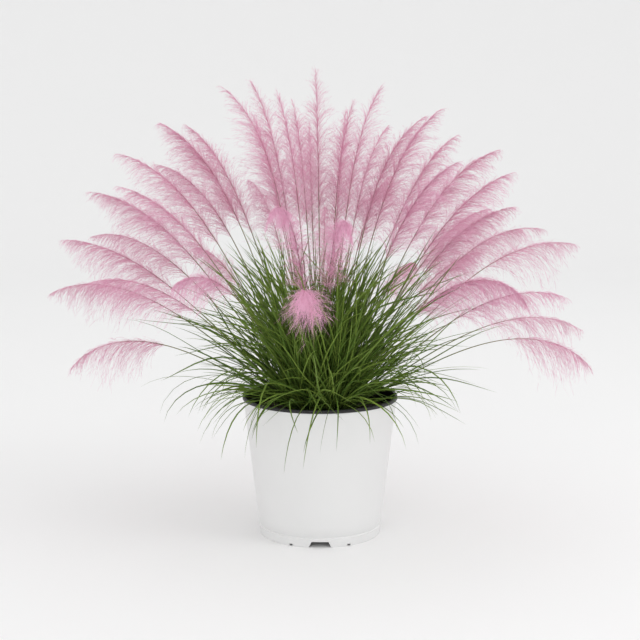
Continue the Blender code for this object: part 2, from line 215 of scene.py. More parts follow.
# Outline of a blade: width and its scatter, width at the foot, where it is full, how late it tapers
BLADE_WIDTH = 0.0028
BLADE_WIDTHS = (0.72, 1.15)
BLADE_FOOT = 0.75
BLADE_FULL = 0.3
BLADE_TAPER = 5
# Fold of a blade, as shares of its width: depth of the groove, and of the keel under it
BLADE_GROOVE = 0.16
BLADE_KEEL = 0.09
# Course of a blade: how late it bends, its sway and wave, and its roll and twist about its own length
BLADE_POWER = 1.7
BLADE_SWAY = 34.0
BLADE_WAVE = 9.0
BLADE_ROLL = 60.0
BLADE_TWIST = 45.0
# Headings off the outward one: for the middle tuft, and what the outermost tufts lose
BLADE_SPREAD = 180.0
OUTER_SPREAD_LOSS = 85.0
FOOT_SCATTER = 0.55
# Fanned blades: lean of the outermost tufts, leans about it, bend and droop to the tip, and lengths
OUTER_LEAN = 30.0
FAN_LEANS = (-50.0, 42.0)
FAN_BEND = 1.35
FAN_DROOP = (4.0, 36.0)
FAN_TIP_MOST = 150.0
FAN_LENGTH = 0.12
FAN_LENGTH_SCATTER = 0.15
SLANT_LENGTH = 0.055
# Blades that hang over the rim: leans at the foot and at the tip, lengths, and heights of their tips
HANGING_LEANS = (34.0, 68.0)
HANGING_TIP_LEANS = (120.0, 172.0)
HANGING_LENGTHS = (0.18, 0.26)
HANGING_TIPS = (0.125, 0.195)
# Blades keep this clear of the pot, from the step at which they have left the soil
RIM_CLEARANCE = 0.0030
FIRST_CLEAR_STEP = 8
LEAF_SEED = 18

# Each flower stem: heading, lean where it leaves the crown, lean at its tip, length
PLUMES = (
    # left side, from the lowest to the highest
    (186, 58, 148, 0.365),
    (172, 51, 120, 0.430),
    (200, 44, 112, 0.390),
    (224, 35, 127, 0.360),
    (184, 44, 90, 0.435),
    (156, 44, 108, 0.460),
    (178, 35, 84, 0.460),
    (199, 31, 76, 0.440),
    (188, 27, 78, 0.480),
    (154, 26, 84, 0.455),
    (180, 20, 66, 0.485),
    (144, 22, 61, 0.480),
    (192, 9, 54, 0.500),
    (125, 19, 38, 0.465),
    (158, 8, 30, 0.492),
    (200, 5, 20, 0.472),
    # middle
    (104, 14, 40, 0.480),
    (136, 1, 4, 0.502),
    (97, 20, 45, 0.460),
    (75, 18, 42, 0.475),
    # right side, from the highest to the lowest
    (20, 3, 20, 0.455),
    (343, 6, 33, 0.485),
    (50, 14, 60, 0.455),
    (9, 11, 58, 0.461),
    (352, 14, 53, 0.475),
    (32, 23, 64, 0.470),
    (328, 22, 68, 0.435),
    (8, 25, 76, 0.470),
    (345, 29, 72, 0.450),
    (35, 38, 88, 0.430),
    (2, 32, 84, 0.410),
    (20, 40, 104, 0.440),
    (355, 42, 104, 0.440),
    (45, 49, 92, 0.405),
    (330, 39, 156, 0.400),
    (332, 48, 108, 0.400),
    (12, 58, 125, 0.400),
    (352, 59, 145, 0.395),
    # front, towards the viewer
    (266, 40, 118, 0.375),
    (258, 24, 150, 0.460),
    (276, 24, 160, 0.440),
    # back
    (68, 30, 80, 0.440),
    (88, 38, 92, 0.430),
    (112, 31, 85, 0.440),
    (128, 46, 105, 0.410),
    (62, 50, 108, 0.400),
)

DOWN = np.array((0.0, 0.0, -1.0))


# Meshes from arrays


class Growth:
    """Points and triangles with their shading values, joined into one mesh."""

    def __init__(self):
        self.points = []
        self.triangles = []
        self.along = []
        self.tint = []
        self.slots = []
        self.count = 0

    def add(self, points, triangles, along, tint, slot=0):
        self.points.append(points)
        self.triangles.append(triangles + self.count)
        self.along.append(along)
        self.tint.append(tint)
        self.slots.append(np.full(len(triangles), slot))
        self.count += len(points)

    def piece(self, name, *materials):
        mesh = bpy.data.meshes.new(name)
        points = np.concatenate(self.points).astype(np.float32)
        triangles = np.concatenate(self.triangles).astype(np.int32)
        mesh.vertices.add(len(points))
        mesh.vertices.foreach_set("co", points.ravel())
        mesh.loops.add(triangles.size)
        mesh.loops.foreach_set("vertex_index", triangles.ravel())
        mesh.polygons.add(len(triangles))
        mesh.polygons.foreach_set("loop_start", np.arange(0, triangles.size, 3, dtype=np.int32))
        for each in materials:
            mesh.materials.append(each)
        mesh.polygons.foreach_set("material_index", np.concatenate(self.slots).astype(np.int32))
        for name_of_value, values in (("along", self.along), ("tint", self.tint)):
            kept = mesh.attributes.new(name_of_value, "FLOAT", "POINT")
            kept.data.foreach_set("value", np.concatenate(values).astype(np.float32))
        mesh.update(calc_edges=True)
        mesh.shade_smooth()
        return link(name, mesh)


def link(name, mesh):
    thing = bpy.data.objects.new(name, mesh)
    bpy.context.collection.objects.link(thing)
    return thing


def unit(vectors):
    return vectors / np.linalg.norm(vectors, axis=-1, keepdims=True)


def strip_triangles(stations, corners, closed):
    """The triangles of one strand: rings of corners joined along it, ending in one point."""
    around = corners if closed else corners - 1
    triangles = []
    for start in range(0, stations * corners, corners):
        for i in range(around):
            a = start + i
            b = start + (i + 1) % corners
            if start + corners < stations * corners:
                triangles += [(a, b, b + corners), (a, b + corners, a + corners)]
            else:
                triangles.append((a, b, stations * corners))
    if closed:
        triangles += [(0, i + 1, i) for i in range(1, corners - 1)]
    return np.array(triangles)


def strands(rings, tips, closed):
    """Points and triangles of strands, from rings (strand, station, corner, xyz) and the tips they end in."""
    count, stations, corners = rings.shape[:3]
    points = np.concatenate((rings.reshape(count, -1, 3), tips[:, None]), axis=1)
    pattern = strip_triangles(stations, corners, closed)
    triangles = pattern[None] + (np.arange(count) * points.shape[1])[:, None, None]
    return points.reshape(-1, 3), triangles.reshape(-1, 3)


def spread_along(count, stations, corners):
    """The share of the way from root to tip, for every point of the strands."""
    share = np.append(np.repeat(np.arange(stations) / stations, corners), 1.0)
    return np.tile(share, count)


# Growth curves, as in the solids


def heading_vectors(headings):
    angles = np.radians(headings)
    return np.stack((np.cos(angles), np.sin(angles), np.zeros_like(angles)), axis=-1)


def lean_curves(headings, leans, tip_leans, lengths, feet, powers, sways, waves):
    """Points along stems or blades that bend from one lean to another, sway to one side and wave."""
    share = (np.arange(CURVE_STEPS) + 0.5)[None] / CURVE_STEPS
    angles = leans[:, None] + (tip_leans - leans)[:, None] * share ** powers[:, None]
    angles = np.radians(angles + waves[:, None] * np.sin(2.0 * math.pi * share))
    turns = np.radians(headings[:, None] + sways[:, None] * share**2)
    out = np.sin(angles)
    steps = np.stack((out * np.cos(turns), out * np.sin(turns), np.cos(angles)), axis=-1)
    paths = np.cumsum(steps * (lengths / CURVE_STEPS)[:, None, None], axis=1)
    return np.concatenate((np.zeros((len(headings), 1, 3)), paths), axis=1) + feet[:, None]


def tuft_spots():
    """Crowns of the tufts, spread over the clump like the seeds of a sunflower."""
    numbers = np.arange(TUFT_COUNT)
    reach = CROWN_RADIUS * np.sqrt(numbers / (TUFT_COUNT - 1))
    return (heading_vectors(GOLDEN_ANGLE * numbers) * reach[:, None])[:, :2]


def free_spot(wanted, taken):
    """The free spot nearest to the wanted one, searched for along a growing spiral."""
    for turn in range(SPIRAL_TURNS):
        spot = wanted + heading_vectors(GOLDEN_ANGLE * turn)[:2] * SPIRAL_STEP * math.sqrt(turn)
        if all(np.hypot(*(spot - other)) >= room for other, room in taken):
            return spot
    raise ValueError("the crown is full")


def plume_paths():
    """The stems' paths, their feet set among the tufts, each close to where its lean puts it."""
    taken = [(spot, TUFT_CROWN + STEM_RADIUS + TUFT_CLEARANCE) for spot in tuft_spots()]
    feet = []
    for heading, lean, _, _ in PLUMES:
        reach = CROWN_RADIUS * min(1.0, lean / CROWN_LEAN)
        spot = free_spot((heading_vectors(heading) * reach)[:2], taken)
        taken.append((spot, STEM_SPACING))
        feet.append((*spot, SOIL_TOP + GAP + STEM_RADIUS * math.sin(math.radians(lean))))
    headings, leans, tip_leans, lengths = np.array(PLUMES).T
    sways = SWAY * np.sin(np.radians(GOLDEN_ANGLE * np.arange(len(PLUMES))))
    powers = UPRIGHT_POWER - leans / LEAN_PER_POWER
    waves = np.zeros(len(PLUMES))
    return lean_curves(headings, leans, tip_leans, lengths, np.array(feet), powers, sways, waves)


def path_frames(paths, headings):
    """The way each path runs at every point, and the sideways and upper directions there."""
    along = unit(np.gradient(paths, axis=1))
    side = heading_vectors(headings + 90.0)[:, None]
    side = unit(side - along * np.sum(side * along, axis=-1, keepdims=True))
    return along, side, np.cross(along, side)


# Materials


def new_material(name, roughness):
    made = bpy.data.materials.new(name)
    made.use_nodes = True
    shader = made.node_tree.nodes["Principled BSDF"]
    shader.inputs["Roughness"].default_value = roughness
    return made, made.node_tree, shader


def mix_colour(tree, factor, first, second, blend="MIX"):
    """A mix of two colours or sockets by a factor socket."""
    mix = tree.nodes.new("ShaderNodeMix")
    mix.data_type = "RGBA"
    mix.blend_type = blend
    tree.links.new(factor, mix.inputs["Factor"])
    for socket, value in ((mix.inputs[6], first), (mix.inputs[7], second)):
        if isinstance(value, tuple):
            socket.default_value = (*value, 1.0)
        else:
            tree.links.new(value, socket)
    return mix.outputs[2]


def value_of(tree, name):
    node = tree.nodes.new("ShaderNodeAttribute")
    node.attribute_name = name
    return node.outputs["Fac"]


def noise(tree, scale, detail=3.0):
    """A noise value in the object's own metres."""
    place = tree.nodes.new("ShaderNodeTexCoord")
    made = tree.nodes.new("ShaderNodeTexNoise")
    made.inputs["Scale"].default_value = scale
    made.inputs["Detail"].default_value = detail
    tree.links.new(place.outputs["Object"], made.inputs["Vector"])
    return made.outputs["Fac"]


def ramp(tree, factor, *stops):
    """A colour ramp of (place, colour) stops."""
    made = tree.nodes.new("ShaderNodeValToRGB")
    while len(made.color_ramp.elements) < len(stops):
        made.color_ramp.elements.new(0.5)
    for element, (place, colour) in zip(made.color_ramp.elements, stops):
        element.position = place
        element.color = (*colour, 1.0)
    tree.links.new(factor, made.inputs["Fac"])
    return made.outputs["Color"]


def add_bump(tree, shader, height, strength, distance):
    bump = tree.nodes.new("ShaderNodeBump")
    bump.inputs["Strength"].default_value = strength
    bump.inputs["Distance"].default_value = distance
    tree.links.new(height, bump.inputs["Height"])
    tree.links.new(bump.outputs["Normal"], shader.inputs["Normal"])


def hair_material():
    """Flower hairs: deep mauve at the root, pale pink at the tip, each a little different, and painted light
    makes heads that face the viewer paler.
    """
    made, tree, shader = new_material("flower_hair", 0.7)
    colour = ramp(
        tree,
        value_of(tree, "along"),
        (0.0, (0.69, 0.31, 0.43)),
        (0.30, (0.72, 0.35, 0.475)),
        (1.0, (0.76, 0.42, 0.55)),
    )
    # Paler pink by the tint: partly scatter from hair to hair, partly painted light on heads that face the
    # viewer
    pale = mix_colour(tree, value_of(tree, "tint"), colour, (0.86, 0.50, 0.67))
    tree.links.new(pale, shader.inputs["Base Color"])
    shader.inputs["Specular IOR Level"].default_value = 0.25
    return made


def stem_material():
    """Stems: green from the leaves, olive brown above them and dull mauve through the head."""
    made, tree, shader = new_material("flower_stem", 0.5)
    colour = ramp(
        tree,
        value_of(tree, "along"),
        (0.0, (0.09, 0.15, 0.03)),
        (0.38, (0.125, 0.165, 0.04)),
        (0.60, (0.19, 0.165, 0.065)),
        (0.72, (0.38, 0.20, 0.18)),
        (0.84, (0.58, 0.26, 0.35)),
        (1.0, (0.70, 0.32, 0.46)),
    )
    tree.links.new(colour, shader.inputs["Base Color"])
    return made


def leaf_material():
    """Leaf blades: painted shade darkens them at the base, blades picked at random are painted a brighter
    green as painted light, and they are paler to the tip.
    """
    made, tree, shader = new_material("leaf_blade", 0.52)
    # Painted shade: dark at the foot of each blade, where the clump shades it
    colour = ramp(
        tree,
        value_of(tree, "along"),
        (0.0, (0.030, 0.056, 0.012)),
        (0.25, (0.078, 0.145, 0.024)),
        (0.70, (0.115, 0.200, 0.032)),
        (1.0, (0.140, 0.220, 0.038)),
    )
    # Painted light: blades picked by the tint are mixed towards a bright green, as if in the light
    other = mix_colour(tree, value_of(tree, "tint"), colour, (0.25, 0.36, 0.065))
    tree.links.new(other, shader.inputs["Base Color"])
    shader.inputs["Specular IOR Level"].default_value = 0.14
    return made


def soil_material():
    made, tree, shader = new_material("peat_and_bark", 0.95)
    grain = ramp(
        tree,
        noise(tree, 420.0, 6.0),
        (0.30, (0.010, 0.007, 0.005)),
        (0.55, (0.030, 0.020, 0.013)),
        (0.80, (0.085, 0.052, 0.030)),
    )
    bark = mix_colour(tree, value_of(tree, "tint"), grain, (0.070, 0.038, 0.020))
    tree.links.new(bark, shader.inputs["Base Color"])
    add_bump(tree, shader, noise(tree, 900.0, 5.0), 0.7, 0.0008)
    return made


def white_plastic():
    made, tree, shader = new_material("white_plastic", 0.40)
    shade = mix_colour(tree, noise(tree, 14.0, 4.0), (0.795, 0.795, 0.793), (0.825, 0.825, 0.822))
    tree.links.new(shade, shader.inputs["Base Color"])
    add_bump(tree, shader, noise(tree, 620.0, 2.0), 0.10, 0.0002)
    return made


def black_plastic():
    made, tree, shader = new_material("black_plastic", 0.42)
    shade = mix_colour(tree, noise(tree, 60.0, 5.0), (0.014, 0.014, 0.015), (0.030, 0.030, 0.031))
    tree.links.new(shade, shader.inputs["Base Color"])
    add_bump(tree, shader, noise(tree, 700.0, 2.0), 0.15, 0.0002)
    shader.inputs["Specular IOR Level"].default_value = 0.3
    return made


# Pot


def wall_radius(height):
    return BASE_RADIUS + (RIM_RADIUS - LIP_PROUD - BASE_RADIUS) * height / POT_HEIGHT


def rounded(corner_x, corner_z, from_angle, to_angle, radius):
    """Points round a quarter turn about a centre."""
    angles = np.radians(np.linspace(from_angle, to_angle, ROUNDING_STEPS + 1))
    return [(corner_x + radius * math.cos(a), corner_z + radius * math.sin(a)) for a in angles]


def pot_profile():
    lip_bottom = POT_HEIGHT - LIP_HEIGHT
    lip_inner = RIM_RADIUS - LIP_THICKNESS
    foot_inner = BASE_RADIUS + FOOT_BAND_PROUD - FOOT_THICKNESS
    step = FOOT_BAND_PROUD
    edge = LIP_ROUNDING / 3.0
    groove = FOOT_BAND_HEIGHT + FOOT_GROOVE
    outside = np.linspace(groove + 3.0 * FOOT_GROOVE, lip_bottom, WALL_STEPS)
    return (
        (0.0, 0.0),
        (PAD_RADIUS, 0.0),
        (PAD_RADIUS + PAD_TAPER, FLOOR_UNDERSIDE),
        (foot_inner, FLOOR_UNDERSIDE),
        (foot_inner, 0.0),
        *rounded(BASE_RADIUS + step - edge, edge, -90, 0, edge),
        (wall_radius(FOOT_BAND_HEIGHT) + step, FOOT_BAND_HEIGHT),
        (wall_radius(groove) - FOOT_GROOVE, groove),
        (wall_radius(groove) - FOOT_GROOVE, groove + FOOT_GROOVE),
        *[(wall_radius(height), height) for height in outside],
        *rounded(RIM_RADIUS - edge, lip_bottom + edge, -90, 0, edge),
        *rounded(RIM_RADIUS - LIP_ROUNDING, POT_HEIGHT - LIP_ROUNDING, 0, 90, LIP_ROUNDING),
        *rounded(lip_inner + LIP_ROUNDING, POT_HEIGHT - LIP_ROUNDING, 90, 180, LIP_ROUNDING),
        (lip_inner, lip_bottom),
        (wall_radius(lip_bottom) - WALL, lip_bottom - WALL),
        (wall_radius(FLOOR_TOP) - WALL, FLOOR_TOP),
        (0.0, FLOOR_TOP),
    )


def turned(profile, sides):
    """A bmesh turned about Z from (radius, height) points that start and end on the axis."""
    bm = bmesh.new()
    rings = []
    for radius, height in profile:
        count = sides if radius > 0.0 else 1
        angles = [2.0 * math.pi * i / sides for i in range(count)]
        rings.append([bm.verts.new((radius * math.cos(a), radius * math.sin(a), height)) for a in angles])
    for lower, upper in zip(rings, rings[1:]):
        for i in range(sides):
            j = (i + 1) % sides
            corners = [lower[i % len(lower)], lower[j % len(lower)]]
            corners += [upper[j % len(upper)], upper[i % len(upper)]]
            bm.faces.new(list(dict.fromkeys(corners)))
    return bm


def add_prism(bm, outline, turn, near, far):
    """A prism of an outline of (across, height) points, run outwards from one radius to another."""
    out = heading_vectors(turn)
    across = heading_vectors(turn + 90.0)
    ends = []
    for radius in (near, far):
        corners = [out * radius + across * x + np.array((0.0, 0.0, z)) for x, z in outline]
        ends.append([bm.verts.new(corner) for corner in corners])
    bm.faces.new(ends[0])
    bm.faces.new(reversed(ends[1]))
    for i in range(len(outline)):
        j = (i + 1) % len(outline)
        bm.faces.new((ends[0][i], ends[1][i], ends[1][j], ends[0][j]))


def notch_outline(bottom_width, top_width, height):
    """A notch open at the bottom, carried on below the ground so that it cuts clean through."""
    flare = (bottom_width - top_width) / height * CUT_MARGIN
    low = (bottom_width + flare) / 2.0
    high = top_width / 2.0
    return ((-low, -CUT_MARGIN), (low, -CUT_MARGIN), (high, height), (-high, height))


def add_drain_hole(bm, turn):
    place = heading_vectors(turn) * DRAIN_HOLE_RING
    made = bmesh.ops.create_cone(
        bm,
        cap_ends=True,
        segments=DRAIN_HOLE_SIDES,
        radius1=DRAIN_HOLE_RADIUS,
        radius2=DRAIN_HOLE_RADIUS,
        depth=FLOOR_TOP - FLOOR_UNDERSIDE + 2.0 * CUT_MARGIN,
    )
    middle = (FLOOR_TOP + FLOOR_UNDERSIDE) / 2.0
    bmesh.ops.translate(bm, verts=made["verts"], vec=(place[0], place[1], middle))


def drainage_cutter():
    bm = bmesh.new()
    wide = notch_outline(NOTCH_BOTTOM_WIDTH, NOTCH_TOP_WIDTH, NOTCH_HEIGHT)
    small = notch_outline(SMALL_NOTCH_WIDTH, SMALL_NOTCH_WIDTH, SMALL_NOTCH_HEIGHT)
    for i in range(WIDE_NOTCHES):
        turn = 270.0 + 360.0 * i / WIDE_NOTCHES
        add_prism(bm, wide, turn, NOTCH_INNER_RADIUS, NOTCH_OUTER_RADIUS)
        add_drain_hole(bm, turn)
        for offset in SMALL_NOTCH_TURNS:
            add_prism(bm, small, turn + offset, NOTCH_INNER_RADIUS, NOTCH_OUTER_RADIUS)
    bmesh.ops.recalc_face_normals(bm, faces=bm.faces)
    mesh = bpy.data.meshes.new("drainage_cutter")
    bm.to_mesh(mesh)
    bm.free()
    return link("drainage_cutter", mesh)


def build_pot():
    bm = turned(pot_profile(), POT_SIDES)
    bmesh.ops.recalc_face_normals(bm, faces=bm.faces)
    mesh = bpy.data.meshes.new("pot_moulding")
    bm.to_mesh(mesh)
    bm.free()
    mesh.materials.append(white_plastic())
    mesh.materials.append(black_plastic())
    lip_bottom = POT_HEIGHT - LIP_HEIGHT
    for face in mesh.polygons:
        middle = face.center
        inside = math.hypot(middle.x, middle.y) < wall_radius(middle.z) - WALL / 2
        dark = middle.z > lip_bottom - GAP or (inside and middle.z > FLOOR_UNDERSIDE)
        face.material_index = 1 if dark else 0
    pot = link("pot_moulding", mesh)
    cutter = drainage_cutter()
    cut = pot.modifiers.new("drainage", "BOOLEAN")
    cut.solver = "EXACT"
    cut.object = cutter
    shaped = pot.evaluated_get(bpy.context.evaluated_depsgraph_get())
    pot.modifiers.remove(cut)
    pot.data = bpy.data.meshes.new_from_object(shaped)
    bpy.data.objects.remove(cutter)
    pot.data.shade_smooth()
    pot.data.set_sharp_from_angle(angle=math.radians(SHARP_ANGLE))
    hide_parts("pot")
    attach(pot, "root")


# Potting mix


def soil_height(rng, spots):
    """Uneven height of the soil at each spot, from a few waves of different sizes."""
    height = np.zeros(len(spots))
    for size, share in SOIL_WAVES:
        for _ in range(WAVES_PER_SIZE):
            way = heading_vectors(rng.uniform(0.0, 360.0))[:2]
            wave = np.sin(spots @ way / size * math.pi + rng.uniform(0.0, 2.0 * math.pi))
            height += share * wave / WAVES_PER_SIZE
    return height * SOIL_ROUGHNESS * 2.0


def soil_bed(rng):
    """A closed body: the uneven top, the side against the pot's wall and the flat underside."""
    low = FLOOR_TOP + GAP
    top_radius = wall_radius(SOIL_TOP) - WALL - 3.0 * GAP
    low_radius = wall_radius(low) - WALL - 3.0 * GAP
    angles = 2.0 * math.pi * np.arange(SOIL_SIDES) / SOIL_SIDES
    circle = np.stack((np.cos(angles), np.sin(angles)), axis=1)
    reaches = top_radius * np.arange(SOIL_RINGS, 0, -1) / SOIL_RINGS
    spots = (circle[None] * reaches[:, None, None]).reshape(-1, 2)
    rise = soil_height(rng, np.vstack((spots, np.zeros((1, 2)))))
    edge = np.clip((top_radius - np.hypot(*spots.T)) / SOIL_EDGE, 0.0, 1.0)
    heights = SOIL_TOP - SOIL_SINK + rise[:-1] * (0.4 + 0.6 * edge) - SOIL_EDGE_DROP * (1.0 - edge)
    top = np.column_stack((spots, heights)).reshape(SOIL_RINGS, SOIL_SIDES, 3)
    bottom = np.column_stack((circle * low_radius, np.full(SOIL_SIDES, low)))[None]
    rings = np.concatenate((bottom, top))[None]
    tip = np.array(((0.0, 0.0, SOIL_TOP - SOIL_SINK + rise[-1]),))
    return strands(rings, tip, closed=True)


def bark_chips(rng):
    """Flat, uneven chips of bark lying about on the soil."""
    reach = (wall_radius(SOIL_TOP) - WALL - CHIP_SIZE) * np.sqrt(rng.random(CHIP_COUNT))
    turns = rng.uniform(0.0, 360.0, CHIP_COUNT)
    middles = heading_vectors(turns) * reach[:, None]
    middles[:, 2] = SOIL_TOP - CHIP_SINK + rng.uniform(0.0, CHIP_RISE, CHIP_COUNT)
    long_way = unit(rng.normal(size=(CHIP_COUNT, 3)) * (1.0, 1.0, 0.35))
    across = unit(np.cross(long_way, rng.normal(size=(CHIP_COUNT, 3)) * (0.3, 0.3, 1.0)))
    up = np.cross(long_way, across)
    sizes = CHIP_SIZE * rng.uniform(0.35, 1.0, CHIP_COUNT)
    angles = 2.0 * math.pi * np.arange(CHIP_SIDES) / CHIP_SIDES
    wide = across[:, None] * np.cos(angles)[None, :, None]
    thick = up[:, None] * CHIP_FLATNESS * np.sin(angles)[None, :, None]
    ring = wide + thick
    stations = []
    for place, width in CHIP_RINGS:
        jitter = rng.uniform(0.7, 1.25, (CHIP_COUNT, CHIP_SIDES, 1))
        middle = middles + long_way * (place * sizes)[:, None]
        stations.append(middle[:, None] + ring * jitter * (width * sizes)[:, None, None])
    rings = np.stack(stations, axis=1)
    tips = middles + long_way * (0.5 * sizes)[:, None]
    return strands(rings, tips, closed=True)


def build_soil():
    rng = np.random.default_rng(SOIL_SEED)
    soil = Growth()
    points, triangles = soil_bed(rng)
    soil.add(points, triangles, np.zeros(len(points)), np.zeros(len(points)))
    points, triangles = bark_chips(rng)
    tint = np.repeat(rng.random(CHIP_COUNT), len(points) // CHIP_COUNT)
    soil.add(points, triangles, np.zeros(len(points)), tint)
    piece = soil.piece("bark_and_peat", soil_material())
    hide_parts("potting_mix")
    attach(piece, "root")


# Stems


def at_shares(values, shares):
    """Values along one path, read at shares of its length."""
    grid = np.arange(CURVE_STEPS + 1)
    return np.stack([np.interp(shares * CURVE_STEPS, grid, values[:, i]) for i in range(3)], axis=1)


def add_stem(plume, path, heading):
    """The stem as a fine tube, thinning from the crown to the tip of the head."""
    shares = np.linspace(0.0, 1.0, STEM_STATIONS + 1)
    along, side, upper = (each[0] for each in path_frames(path[None], np.array([heading])))
    angles = 2.0 * math.pi * np.arange(STEM_SIDES) / STEM_SIDES
    radii = STEM_RADIUS + (STEM_TIP_RADIUS - STEM_RADIUS) * shares**STEM_TAPER
    sides = at_shares(side, shares)[:-1, None] * np.cos(angles)[None, :, None]
    uppers = at_shares(upper, shares)[:-1, None] * np.sin(angles)[None, :, None]
    rings = at_shares(path, shares)[:-1, None] + (sides + uppers) * radii[:-1, None, None]
    points, triangles = strands(rings[None], path[-1:], closed=True)
    plume.add(points, triangles, spread_along(1, STEM_STATIONS, STEM_SIDES), np.zeros(len(points)), slot=1)


# Flower heads


def low_side_turns(turns, leaning):
    """Turns about the stem, drawn towards its low side the more it leans."""
    turns = (turns + 180.0) % 360.0 - 180.0
    share = (np.abs(turns) / 180.0) ** (1.0 / (1.0 + LOW_SIDE_PULL * leaning))
    return np.sign(turns) * 180.0 * share


def branch_lengths(rng, places, turns, leaning, reach):
    """Lengths of branches: short near the tip of the head, and on the upper side where it leans."""
    profile = TIP_LENGTH + (1.0 - TIP_LENGTH) * np.minimum(1.0, (1.0 - places) / TAPER_PART)
    hang = 1.0 - UPPER_SIDE_LOSS * leaning * np.cos(np.radians(turns))
    return reach * profile * hang * rng.triangular(*BRANCH_SCATTER, len(places))


def branch_angles(rng, places, leaning):
    """Angles off the stem at the root and at the end of branches, and how much each curls."""
    opening = rng.normal(0.0, OPENING_SCATTER, len(places))
    first = ROOT_ANGLE + 0.5 * opening - ROOT_ANGLE_LOSS * places**3
    last = END_ANGLE + 1.2 * opening - END_ANGLE_LOSS * places**3 - LEANING_LOSS * leaning
    return first, last, rng.normal(0.0, BRANCH_CURL, len(places))


def branch_paths(rng, path, heading, count, start, reach):
    """Branches of a head: each leaves close to the stem, curves out and droops."""
    places = rng.beta(*BRANCH_PLACES, count)
    shares = start + (1.0 - start) * places
    frames = path_frames(path[None], np.array([heading]))
    along, side, upper = (at_shares(each[0], shares) for each in frames)
    side = unit(side)
    leaning = np.hypot(along[:, 0], along[:, 1])
    turns = GOLDEN_ANGLE * np.arange(count) + rng.normal(0.0, TURN_SCATTER, count)
    turns = low_side_turns(turns, leaning)
    lengths = branch_lengths(rng, places, turns, leaning, reach)
    first, last, curl = branch_angles(rng, places, leaning)
    pull = UPRIGHT_DROOP + LEANING_DROOP * leaning**4
    middles = [at_shares(path, shares)]
    for i in range(BRANCH_SEGMENTS):
        t = (i + 0.5) / BRANCH_SEGMENTS
        wave = curl * math.sin(2.0 * math.pi * t)
        angle = np.radians(first + (last - first) * t**1.1 + wave)[:, None]
        turn = np.radians(turns - wave)[:, None]
        way = along * np.cos(angle) + (upper * np.cos(turn) + side * np.sin(turn)) * np.sin(angle)
        way = unit(way + DOWN * (pull * t**1.8)[:, None])
        middles.append(middles[-1] + way * (lengths / BRANCH_SEGMENTS)[:, None])
    return np.stack(middles, axis=1), lengths


def twig_paths(rng, branches, lengths):
    """Fine twigs all along the branches, which fork off and bend back to run on with them."""
    owner = np.repeat(np.arange(len(branches)), TWIGS)
    count = len(owner)
    places = rng.uniform(*TWIG_PLACES, count)
    segment = np.floor(places * BRANCH_SEGMENTS).astype(int)
    low = branches[owner, segment]
    step = branches[owner, segment + 1] - low
    starts = low + step * (places * BRANCH_SEGMENTS - segment)[:, None]
    ahead = unit(step)
    aside = unit(np.cross(ahead, rng.normal(size=(count, 3))))
    sizes = TWIG_LENGTH * (lengths[owner] / BRANCH_LENGTH) * (1.0 - TWIG_SHORTENING * places)
    sizes = sizes * rng.uniform(*TWIG_SCATTER, count)
    angles = np.radians(rng.uniform(*TWIG_ANGLES, count))
    droop = rng.uniform(0.0, TWIG_DROOP, count)
    middles = [starts]
    for i in range(TWIG_SEGMENTS):
        t = (i + 0.5) / TWIG_SEGMENTS
        angle = (angles * (1.0 - TWIG_BEND * t))[:, None]
        way = unit(ahead * np.cos(angle) + aside * np.sin(angle) + DOWN * (droop * t)[:, None])
        middles.append(middles[-1] + way * (sizes / TWIG_SEGMENTS)[:, None])
    return np.stack(middles, axis=1), places


def add_hairs(rng, plume, middles, width, tint, first_along):
    """Flat, tapered strips along the given paths."""
    count = len(middles)
    segments = middles.shape[1] - 1
    flat = unit(np.cross(middles[:, -1] - middles[:, 0], rng.normal(size=(count, 3))))
    share = np.arange(segments) / segments
    widths = width * (1.0 - share) ** HAIR_TAPER * rng.uniform(*HAIR_WIDTHS, (count, 1))
    half = flat[:, None] * (widths / 2.0)[..., None]
    rings = np.stack((middles[:, :-1] + half, middles[:, :-1] - half), axis=2)
    points, triangles = strands(rings, middles[:, -1], closed=False)
    around = len(points) // count
    along = spread_along(count, segments, 2)
    begin = np.repeat(first_along, around)
    plume.add(points, triangles, begin + (1.0 - begin) * along, np.repeat(tint, around))


def build_plumes():
    hair = hair_material()
    stem = stem_material()
    for number, path in enumerate(plume_paths(), 1):
        rng = np.random.default_rng(HEAD_SEED + number)
        heading = float(PLUMES[number - 1][0])
        # Painted light: how far the head faces the viewer, which paints it paler
        painted_light_share = max(0.0, -math.sin(math.radians(heading)))
        count = round(BRANCHES * FULLNESS.get(number, 1.0))
        start = STARTS.get(number, HAIR_START)
        reach = BRANCH_LENGTH * REACHES.get(number, 1.0)
        branches, lengths = branch_paths(rng, path, heading, count, start, reach)
        twigs, places = twig_paths(rng, branches, lengths)
        tint = rng.random(count) * TINT_SCATTER + FACING_PAINTED_LIGHT * painted_light_share
        plume = Growth()
        add_hairs(rng, plume, branches, BRANCH_WIDTH, tint, np.zeros(count))
        add_hairs(rng, plume, twigs, TWIG_WIDTH, np.repeat(tint, TWIGS), places)
        add_stem(plume, path, heading)
        piece = plume.piece(f"flower_plume_{number:02d}", hair, stem)
        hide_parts(f"plume_{number:02d}")
        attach(piece, "root")


# Leaves


def clears_pot(points):
    """Whether a blade stays above the soil, and passes over the lip or hangs outside it."""
    reach = np.hypot(points[:, 0], points[:, 1])
    height = points[:, 2]
    outside = reach > RIM_RADIUS + RIM_CLEARANCE
    within = reach < RIM_RADIUS - LIP_THICKNESS - RIM_CLEARANCE
    over_lip = (height > POT_HEIGHT + RIM_CLEARANCE) | within
    return bool((outside | (over_lip & (height > SOIL_TOP))).all())


